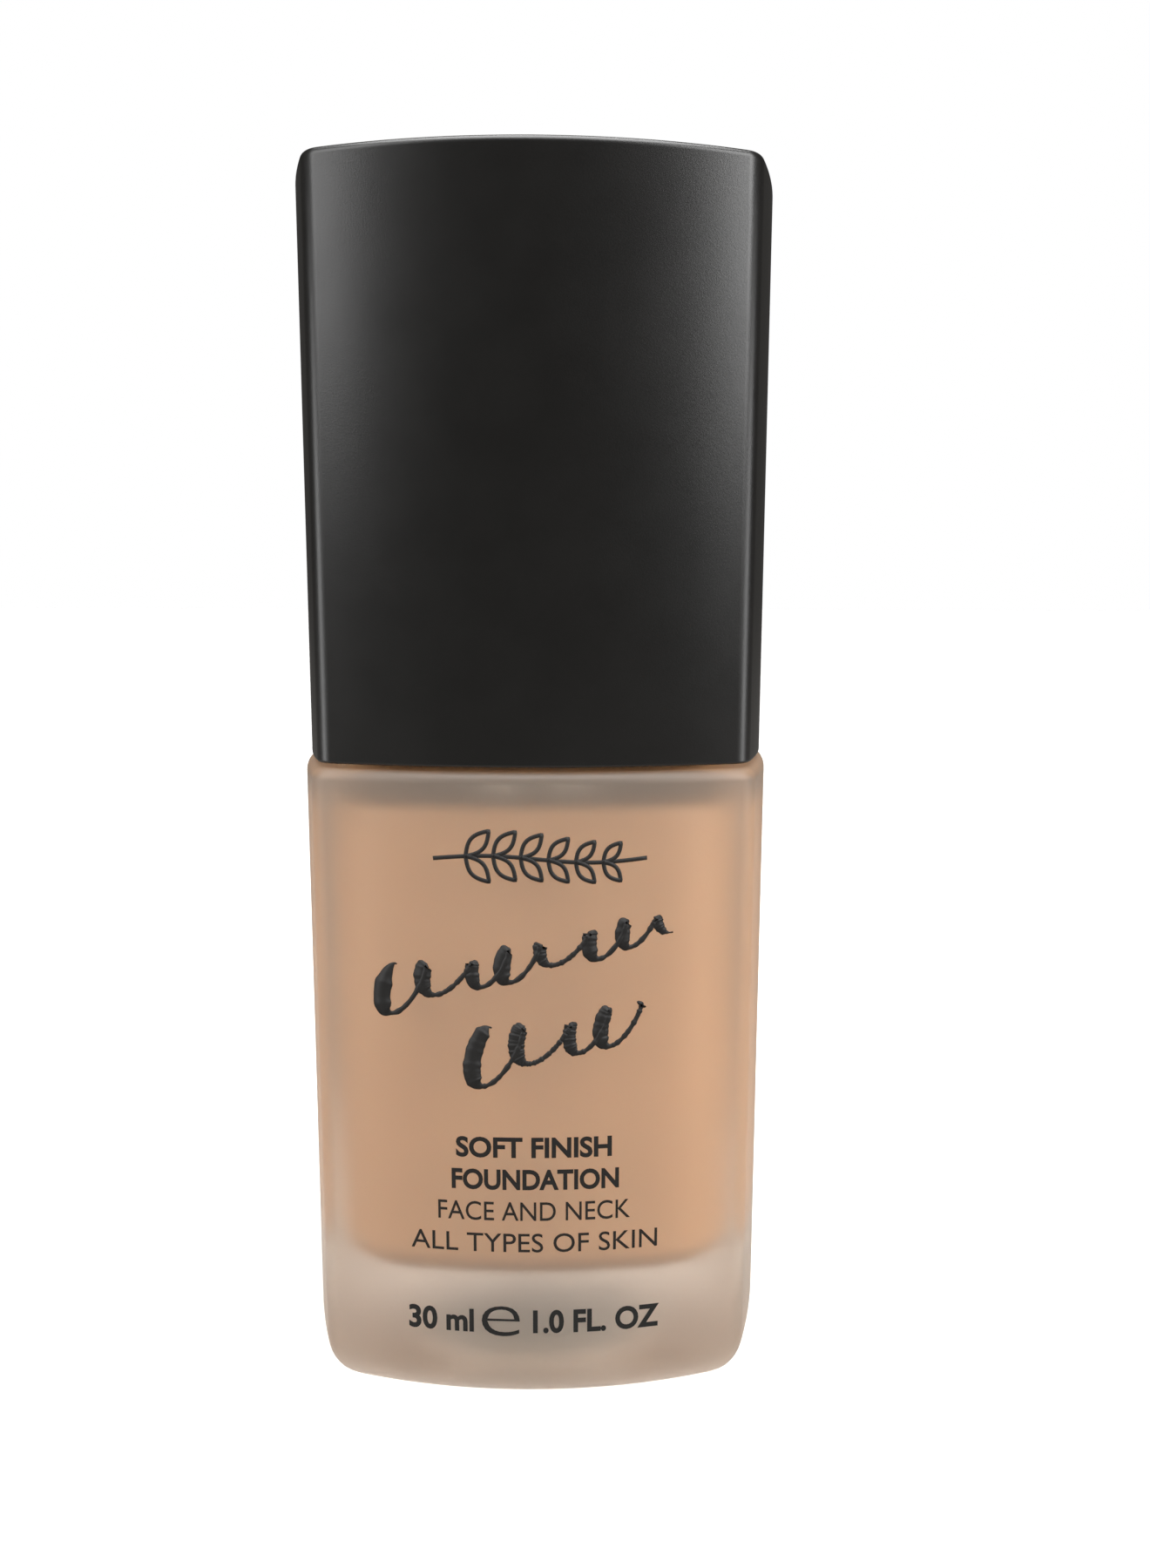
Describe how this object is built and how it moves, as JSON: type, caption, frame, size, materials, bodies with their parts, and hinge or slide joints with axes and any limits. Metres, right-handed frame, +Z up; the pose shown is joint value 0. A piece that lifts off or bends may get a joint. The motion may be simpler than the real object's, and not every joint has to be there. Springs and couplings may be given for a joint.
{
  "type": "foundation bottle",
  "caption": "Pillow-sided square glass bottle of liquid foundation with a screw-on press pump under a tall pull-off overcap.",
  "frame": {"origin": "centre of the footprint on the surface that the bottle stands on", "axes": "+Z up along the neck's axis, -Y towards the printed front and the pump's spout, +X to the right seen from the front"},
  "size_m": [0.0378, 0.0378, 0.0925],
  "materials": {
    "frosted_glass": "acid-etched satin outside",
    "label_film": "satin film",
    "foundation": "smooth cream",
    "gasket_foam": "soft foam",
    "natural_plastic": "natural moulded",
    "seal_plastic": "smooth moulded",
    "stainless_steel": "bright drawn",
    "black_plastic": "moulded",
    "collar_black": "gloss moulded",
    "actuator_black": "satin moulded",
    "satin_black": "satin moulded"
  },
  "bodies": {
    "bottle": {"glass_bottle": "frosted_glass", "base_label": "label_film", "foundation_liquid": "foundation"},
    "pump": {"pump_housing": "natural_plastic", "neck_gasket": "gasket_foam", "dip_tube": "natural_plastic", "ball_retainer": "natural_plastic", "lock_ring": "natural_plastic", "return_spring": "stainless_steel"},
    "collar": {"screw_collar": "black_plastic", "collar_shell": "collar_black"},
    "overcap": {"overcap_shell": "satin_black", "overcap_liner": "black_plastic"},
    "plunger": {"stem": "natural_plastic", "piston_rod": "natural_plastic"},
    "piston": {"piston_seal": "seal_plastic"},
    "actuator": {"actuator_shell": "actuator_black", "actuator_core": "black_plastic", "nozzle_insert": "black_plastic"},
    "ball": {"inlet_ball": "stainless_steel"}
  },
  "joints": [
    {"name": "pump_lift", "type": "slide", "parent": "bottle", "child": "pump", "axis": [0, 0, 1], "range_m": [0, 0.0056]},
    {"name": "collar_turn", "type": "hinge", "parent": "pump", "child": "collar", "pos_m": [0, 0, 0.0584], "axis": [0, 0, 1], "range_deg": [0, 630]},
    {"name": "overcap_pull", "type": "slide", "parent": "collar", "child": "overcap", "axis": [0, 0, 1], "range_m": [0, 0.06]},
    {"name": "actuator_press", "type": "slide", "parent": "pump", "child": "plunger", "axis": [0, 0, -1], "range_m": [0, 0.004], "stiffness_N_per_m": 1000, "springref_m": -0.004, "deforming": ["return_spring"]},
    {"name": "actuator_swivel", "type": "hinge", "parent": "plunger", "child": "actuator", "pos_m": [0, 0, 0.08], "axis": [0, 0, 1], "continuous": true},
    {"name": "piston_float", "type": "slide", "parent": "plunger", "child": "piston", "axis": [0, 0, 1], "range_m": [0, 0.0006]},
    {"name": "ball_lift", "type": "slide", "parent": "pump", "child": "ball", "axis": [0, 0, 1], "range_m": [0, 0.0008]}
  ],
  "couplings": [
    {"joint": "pump_lift", "follows": "collar_turn", "m_per_rad": 0.00050611}
  ]
}
